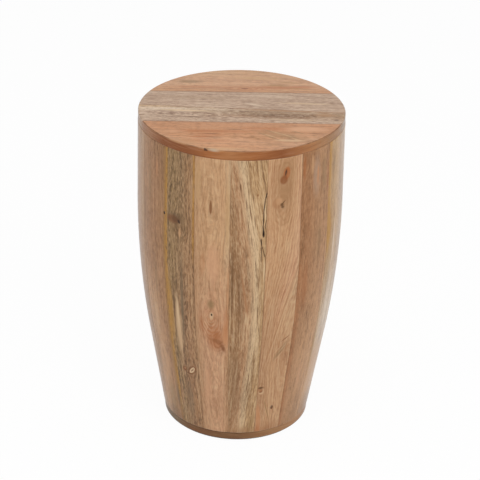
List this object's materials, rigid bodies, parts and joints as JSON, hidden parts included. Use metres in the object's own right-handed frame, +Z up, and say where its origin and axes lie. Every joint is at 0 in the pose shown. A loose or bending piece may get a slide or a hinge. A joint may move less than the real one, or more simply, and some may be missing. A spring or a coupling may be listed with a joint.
{
  "type": "drum side table",
  "caption": "Round drum side table of upright glued wooden staves, bellied at the top and narrow at the foot, with a flat board top flush with its sides.",
  "frame": {"origin": "centre of the base's underside, on the floor", "axes": "+Z up along the drum's axis, -Y towards the pictured front, +X to its right, along the top boards"},
  "size_m": [0.3404, 0.3404, 0.56],
  "materials": {
    "stave_wood": "sanded hardwood staves with mixed salmon, grey-brown and pale sapwood boards, waxed to a low sheen",
    "top_wood": "sanded hardwood boards, salmon and grey-beige, waxed to a low sheen",
    "base_wood": "brown hardwood, sanded",
    "ring_wood": "unfinished plywood",
    "screw_steel": "yellow zinc-plated"
  },
  "bodies": {
    "root": {"stave_01": "stave_wood", "stave_02": "stave_wood", "stave_03": "stave_wood", "stave_04": "stave_wood", "stave_05": "stave_wood", "stave_06": "stave_wood", "stave_07": "stave_wood", "stave_08": "stave_wood", "stave_09": "stave_wood", "stave_10": "stave_wood", "stave_11": "stave_wood", "stave_12": "stave_wood", "stave_13": "stave_wood", "stave_14": "stave_wood", "stave_15": "stave_wood", "stave_16": "stave_wood", "stave_17": "stave_wood", "top_board_front": "top_wood", "top_board_mid_front": "top_wood", "top_board_mid_back": "top_wood", "top_board_back": "top_wood", "base_board_front": "base_wood", "base_board_back": "base_wood", "upper_ring": "ring_wood", "lower_ring": "ring_wood", "base_screws": "screw_steel"}
  },
  "joints": []
}
